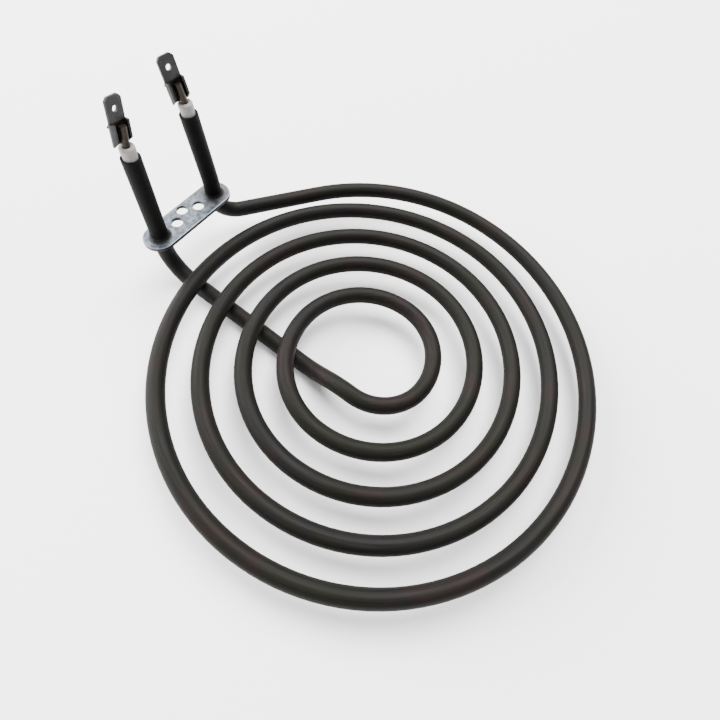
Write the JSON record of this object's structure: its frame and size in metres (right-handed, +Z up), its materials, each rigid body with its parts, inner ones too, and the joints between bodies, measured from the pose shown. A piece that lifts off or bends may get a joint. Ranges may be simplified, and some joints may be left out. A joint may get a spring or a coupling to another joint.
{
  "type": "tubular heating element",
  "caption": "Flat spiral of sheathed heating tube, its legs rising through an oblong drilled plate to ceramic beads and flat tab terminals.",
  "frame": {"origin": "centre of the mounting plate's upper face, midway between the two leg axes", "axes": "+Z up along the left leg, out of the plate's upper face; +X from the plate out over the spiral; +Y from the left leg to the right leg"},
  "size_m": [0.1862, 0.1728, 0.0817],
  "materials": {
    "sheath": "satin, oxidised dark by heat",
    "plate_zinc": "bright zinc, lightly mottled",
    "ceramic": "fine unglazed ceramic, off-white",
    "terminal_steel": "dull, darkened by welding heat",
    "pin_steel": "brown heat tint",
    "resistance_wire": "dull wire",
    "magnesia": "compacted powder",
    "seal_resin": "cured resin"
  },
  "bodies": {
    "root": {"sheath_tube": "sheath", "mounting_plate": "plate_zinc", "terminal_pin_left": "pin_steel", "terminal_pin_right": "pin_steel", "resistance_coil": "resistance_wire", "magnesia_filling": "magnesia", "end_seal_left": "seal_resin", "end_seal_right": "seal_resin", "ceramic_bead_left": "ceramic", "ceramic_bead_right": "ceramic", "tab_terminal_left": "terminal_steel", "tab_terminal_right": "terminal_steel"}
  },
  "joints": []
}
